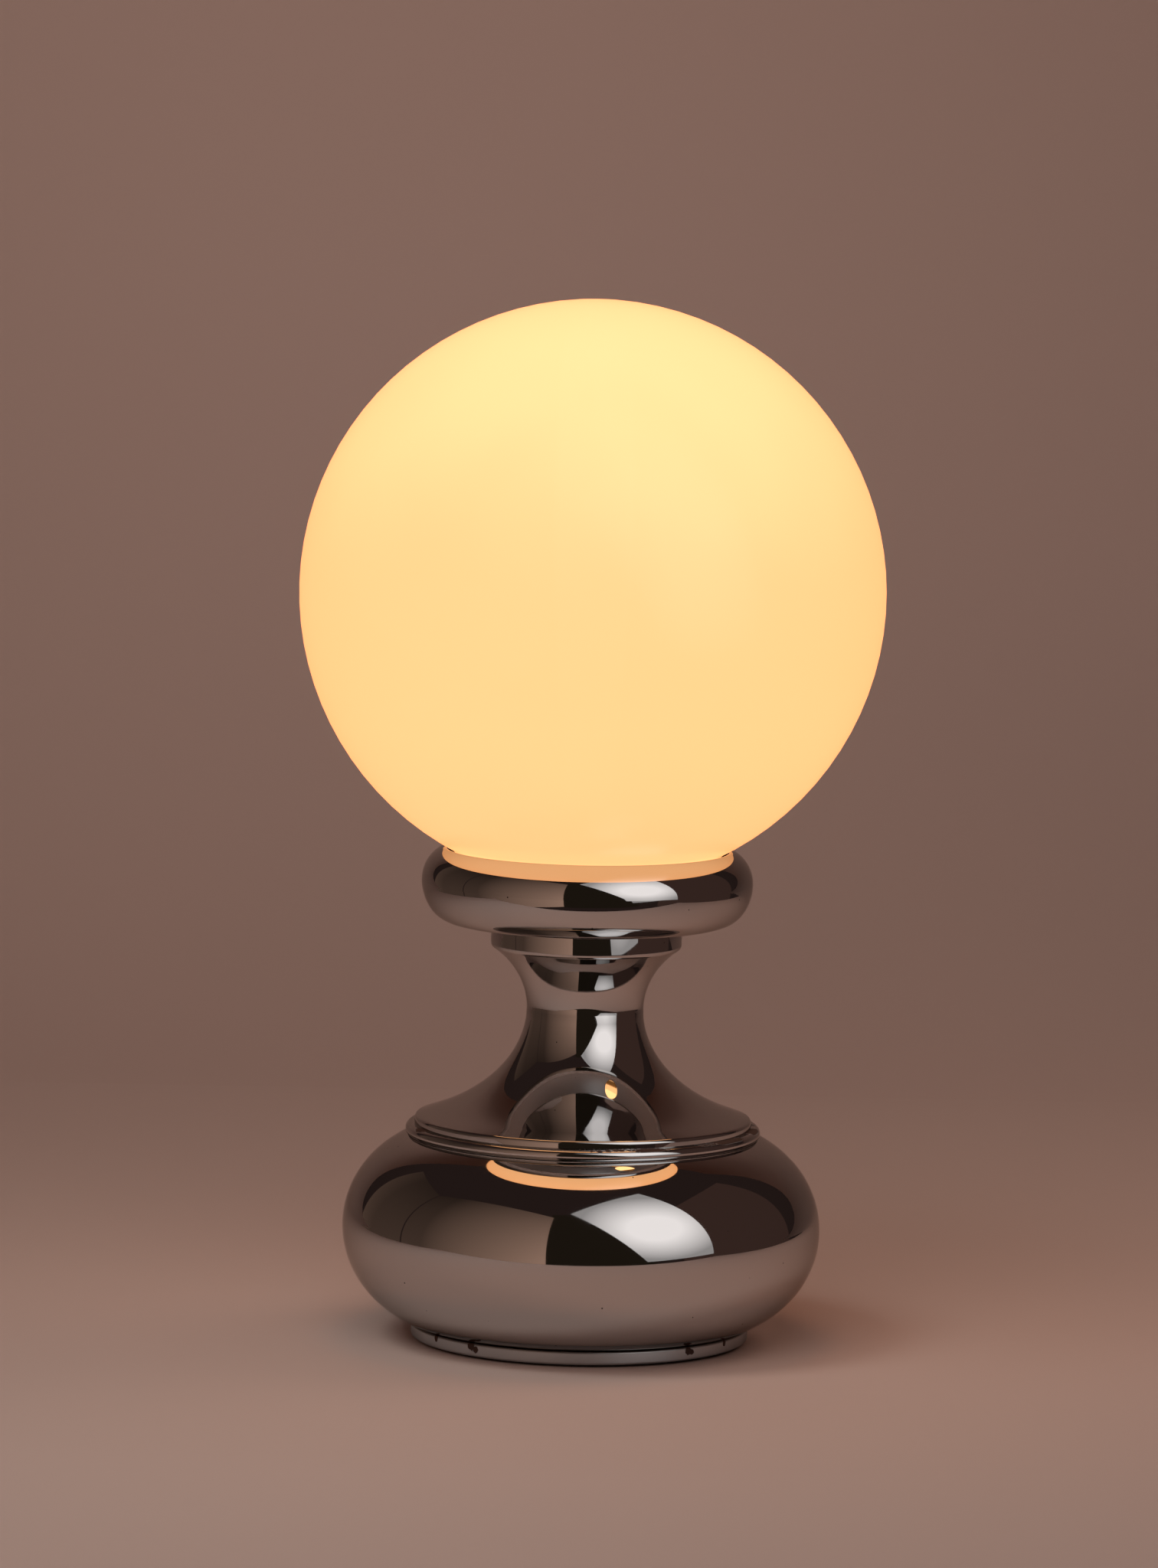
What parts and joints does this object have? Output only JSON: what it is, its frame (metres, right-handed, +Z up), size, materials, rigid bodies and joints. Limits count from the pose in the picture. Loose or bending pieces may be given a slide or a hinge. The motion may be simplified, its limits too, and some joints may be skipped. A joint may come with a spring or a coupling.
{
  "type": "globe table lamp",
  "caption": "Table lamp with a lit opal glass globe standing in a chromed ring gallery, on a waisted chromed neck and a bulbous chromed base.",
  "frame": {"origin": "centre of the felt pad's underside, on the table", "axes": "+Z up along the lamp's axis, -Y towards the viewer, +Y towards the lead inlet at the back"},
  "size_m": [0.25, 0.25, 0.4464],
  "materials": {
    "chrome": "bright chrome plate with a little age",
    "opal_glass": "opal glass, lit from inside",
    "felt": "thin wool felt",
    "zinc_steel": "zinc-plated steel",
    "cast_iron": "raw casting",
    "gasket_rubber": "natural amber rubber",
    "black_plastic": "moulded",
    "bakelite": "pressed bakelite",
    "porcelain": "glazed porcelain",
    "brass": "bright brass",
    "block_plastic": "moulded",
    "bulb_glass": "inside-frosted glass, lit",
    "stem_glass": "clear glass",
    "bulb_cap_metal": "pressed aluminium",
    "bulb_black_glass": "black glass",
    "tungsten": "drawn wire",
    "lead_brown": "insulation",
    "lead_blue": "insulation",
    "lead_green": "insulation"
  },
  "bodies": {
    "lamp": {"base_bowl": "chrome", "shoulder_ring": "chrome", "neck_column": "chrome", "gallery_ring": "chrome", "foot_ring": "chrome", "felt_pad": "felt", "bottom_plate": "zinc_steel", "plate_screws": "zinc_steel", "plate_nuts": "zinc_steel", "weight_bolt": "zinc_steel", "weight_nut": "zinc_steel", "block_screws": "zinc_steel", "threaded_rod": "zinc_steel", "crown_washer": "zinc_steel", "lock_washer": "zinc_steel", "crown_nut": "zinc_steel", "gallery_washer": "zinc_steel", "gallery_nut": "zinc_steel", "riser_tube": "zinc_steel", "base_weight": "cast_iron", "shade_gasket": "gasket_rubber", "cord_bush": "black_plastic", "bush_nut": "black_plastic", "holder_cap": "bakelite", "holder_skirt": "bakelite", "holder_insert": "porcelain", "screw_shell": "brass", "centre_contact": "brass", "holder_screws": "brass", "pole_screws": "brass", "earth_tag": "brass", "terminal_block": "block_plastic", "live_lead": "lead_brown", "neutral_lead": "lead_blue", "earth_lead": "lead_green"},
    "globe": {"globe_shade": "opal_glass"},
    "bulb_seat": {"bulb_tip": "brass"},
    "bulb": {"bulb_envelope": "bulb_glass", "bulb_cap": "bulb_cap_metal", "bulb_insulator": "bulb_black_glass", "bulb_stem": "stem_glass", "bulb_wires": "zinc_steel", "bulb_filament": "tungsten"}
  },
  "joints": [
    {"name": "globe_lift", "type": "slide", "parent": "lamp", "child": "globe", "axis": [0, 0, 1], "range_m": [0, 0.21]},
    {"name": "bulb_rise", "type": "slide", "parent": "lamp", "child": "bulb_seat", "axis": [0, 0, 1], "range_m": [0, 0.02187]},
    {"name": "bulb_turn", "type": "hinge", "parent": "bulb_seat", "child": "bulb", "pos_m": [0, 0, 0.25876], "axis": [0, 0, 1], "range_deg": [0, 2160]}
  ],
  "couplings": [
    {"joint": "bulb_rise", "follows": "bulb_turn", "m_per_rad": 0.00057757}
  ]
}
